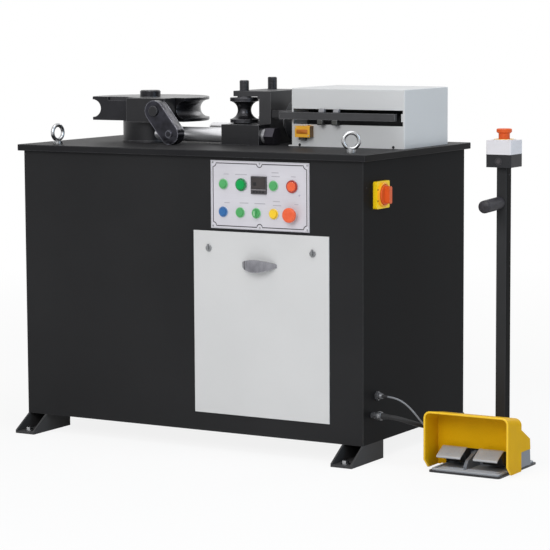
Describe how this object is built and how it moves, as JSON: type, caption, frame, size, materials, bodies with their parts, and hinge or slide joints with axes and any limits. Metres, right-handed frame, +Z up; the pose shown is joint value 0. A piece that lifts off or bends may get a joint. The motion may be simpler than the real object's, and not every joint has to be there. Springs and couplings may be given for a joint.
{
  "type": "rotary tube bender",
  "caption": "Floor-standing rotary tube bender: cabinet with powered bending die, swing-up clamp arm, sliding roller carriage with cylinder, control panel and double foot switch with stop post.",
  "frame": {"origin": "on the floor, under the middle of the whole machine's box, the free cords left out", "axes": "+X to the right along the cabinet's front, +Y to the back, +Z up; the control panel faces -Y"},
  "size_m": [1.531, 0.738, 1.0124],
  "materials": {
    "cabinet": "satin dark grey paint",
    "table": "satin dark grey paint",
    "zinc": "zinc plated",
    "machined": "machined steel",
    "black_steel": "black oxide",
    "chrome": "hard chrome",
    "white_paint": "light grey powder coat",
    "door_paint": "light grey powder coat",
    "yellow_plastic": "moulded",
    "red_plastic": "moulded",
    "green_plastic": "moulded",
    "blue_plastic": "moulded",
    "black_plastic": "moulded",
    "grey_plastic": "moulded",
    "panel_plate": "anodised plate",
    "rubber": "matt",
    "aluminium": "cast"
  },
  "bodies": {
    "root": {"cabinet_shell": "cabinet", "cabinet_front": "cabinet", "table_plate": "table", "feet": "cabinet", "foot_bolts": "zinc", "eye_bolts": "zinc", "spindle_housing": "machined", "guide_rods": "chrome", "cylinder": "black_steel", "cylinder_mount": "white_paint", "box_cover": "white_paint", "limit_switch": "yellow_plastic", "control_panel": "panel_plate", "instrument": "black_plastic", "main_switch_box": "yellow_plastic", "cable_glands": "zinc", "pedal_base": "black_steel", "pedal_hood": "yellow_plastic", "pedal_body": "grey_plastic", "post": "black_steel", "stop_box": "black_plastic", "stop_lid": "grey_plastic", "post_grip": "rubber", "gear_reducer": "black_steel", "power_unit": "black_steel", "control_cable": "rubber", "control_conduit": "rubber"},
    "bending_head": {"spindle": "machined", "bending_die": "machined", "die_nut": "machined", "clamp_block": "machined", "arm_pivot_pin": "machined"},
    "clamp_arm": {"clamp_arm": "black_steel"},
    "carriage": {"carriage_frame": "table", "rod_blocks": "machined", "dog_rail": "black_steel", "trip_dogs": "aluminium", "piston_rod": "chrome"},
    "front_roller": {"front_roller": "machined"},
    "rear_roller": {"rear_roller": "machined"},
    "front_roller_pin": {"front_roller_pin": "machined"},
    "rear_roller_pin": {"rear_roller_pin": "machined"},
    "limit_switch_plunger": {"limit_switch_plunger": "zinc"},
    "door": {"door": "door_paint", "door_handle": "chrome"},
    "left_door_lock": {"left_door_lock": "black_plastic"},
    "right_door_lock": {"right_door_lock": "black_plastic"},
    "main_switch_handle": {"main_switch_handle": "red_plastic"},
    "left_pedal": {"left_pedal": "grey_plastic"},
    "right_pedal": {"right_pedal": "grey_plastic"},
    "stop_button": {"stop_button": "red_plastic"},
    "left_green_button": {"left_green_button": "green_plastic"},
    "large_green_button": {"large_green_button": "green_plastic"},
    "right_green_button": {"right_green_button": "green_plastic"},
    "red_button": {"red_button": "red_plastic"},
    "blue_button": {"blue_button": "blue_plastic"},
    "green_button": {"green_button": "green_plastic"},
    "selector_knob": {"selector_knob": "green_plastic"},
    "yellow_button": {"yellow_button": "yellow_plastic"},
    "stop_mushroom": {"stop_mushroom": "red_plastic"}
  },
  "joints": [
    {"name": "die_turn", "type": "hinge", "parent": "root", "child": "bending_head", "pos_m": [-0.5165, -0.003, 0.92275], "axis": [0, 0, -1], "range_deg": [0, 190]},
    {"name": "arm_swing", "type": "hinge", "parent": "bending_head", "child": "clamp_arm", "pos_m": [-0.4005, -0.145, 0.92275], "axis": [0, -1, 0], "range_deg": [0, 51.5]},
    {"name": "carriage_slide", "type": "slide", "parent": "root", "child": "carriage", "axis": [-1, 0, 0], "range_m": [0, 0.096]},
    {"name": "front_roller_spin", "type": "hinge", "parent": "carriage", "child": "front_roller", "pos_m": [-0.2035, 0.009, 0.92275], "axis": [0, 0, 1], "continuous": true},
    {"name": "rear_roller_spin", "type": "hinge", "parent": "carriage", "child": "rear_roller", "pos_m": [-0.2035, 0.167, 0.92275], "axis": [0, 0, 1], "continuous": true},
    {"name": "front_pin_lift", "type": "slide", "parent": "carriage", "child": "front_roller_pin", "axis": [0, 0, 1], "range_m": [0, 0.12]},
    {"name": "rear_pin_lift", "type": "slide", "parent": "carriage", "child": "rear_roller_pin", "axis": [0, 0, 1], "range_m": [0, 0.12]},
    {"name": "limit_switch_press", "type": "slide", "parent": "root", "child": "limit_switch_plunger", "axis": [0, 0, -1], "range_m": [0, 0.0015], "stiffness_N_per_m": 300, "springref_m": -0.004},
    {"name": "door_tilt", "type": "hinge", "parent": "root", "child": "door", "pos_m": [0.035, -0.3053, 0.102], "axis": [1, 0, 0], "range_deg": [0, 30]},
    {"name": "left_lock_turn", "type": "hinge", "parent": "door", "child": "left_door_lock", "pos_m": [-0.1285, -0.3083, 0.559], "axis": [0, 1, 0], "range_deg": [0, 90]},
    {"name": "right_lock_turn", "type": "hinge", "parent": "door", "child": "right_door_lock", "pos_m": [0.1985, -0.3083, 0.559], "axis": [0, 1, 0], "range_deg": [0, 90]},
    {"name": "left_green_button_press", "type": "slide", "parent": "root", "child": "left_green_button", "axis": [0, 1, 0], "range_m": [0, 0.004], "stiffness_N_per_m": 400, "springref_m": -0.003},
    {"name": "large_green_button_press", "type": "slide", "parent": "root", "child": "large_green_button", "axis": [0, 1, 0], "range_m": [0, 0.004], "stiffness_N_per_m": 400, "springref_m": -0.003},
    {"name": "right_green_button_press", "type": "slide", "parent": "root", "child": "right_green_button", "axis": [0, 1, 0], "range_m": [0, 0.004], "stiffness_N_per_m": 400, "springref_m": -0.003},
    {"name": "red_button_press", "type": "slide", "parent": "root", "child": "red_button", "axis": [0, 1, 0], "range_m": [0, 0.004], "stiffness_N_per_m": 400, "springref_m": -0.003},
    {"name": "blue_button_press", "type": "slide", "parent": "root", "child": "blue_button", "axis": [0, 1, 0], "range_m": [0, 0.004], "stiffness_N_per_m": 400, "springref_m": -0.003},
    {"name": "green_button_press", "type": "slide", "parent": "root", "child": "green_button", "axis": [0, 1, 0], "range_m": [0, 0.004], "stiffness_N_per_m": 400, "springref_m": -0.003},
    {"name": "selector_turn", "type": "hinge", "parent": "root", "child": "selector_knob", "pos_m": [0.0245, -0.307, 0.661], "axis": [0, 1, 0], "range_deg": [-45, 45]},
    {"name": "yellow_button_press", "type": "slide", "parent": "root", "child": "yellow_button", "axis": [0, 1, 0], "range_m": [0, 0.004], "stiffness_N_per_m": 400, "springref_m": -0.003},
    {"name": "stop_mushroom_press", "type": "slide", "parent": "root", "child": "stop_mushroom", "axis": [0, 1, 0], "range_m": [0, 0.005], "stiffness_N_per_m": 600, "springref_m": -0.003},
    {"name": "main_switch_turn", "type": "hinge", "parent": "root", "child": "main_switch_handle", "pos_m": [0.3625, -0.2115, 0.7165], "axis": [1, 0, 0], "range_deg": [0, 90]},
    {"name": "left_pedal_press", "type": "hinge", "parent": "root", "child": "left_pedal", "pos_m": [0.5875, -0.201, 0.041], "axis": [1, 0, 0], "range_deg": [0, 8], "stiffness_Nm_per_rad": 12, "springref_deg": -6.88},
    {"name": "right_pedal_press", "type": "hinge", "parent": "root", "child": "right_pedal", "pos_m": [0.6935, -0.201, 0.041], "axis": [1, 0, 0], "range_deg": [0, 8], "stiffness_Nm_per_rad": 12, "springref_deg": -6.88},
    {"name": "stop_button_press", "type": "slide", "parent": "root", "child": "stop_button", "axis": [0, 0, -1], "range_m": [0, 0.006], "stiffness_N_per_m": 500, "springref_m": -0.004}
  ]
}
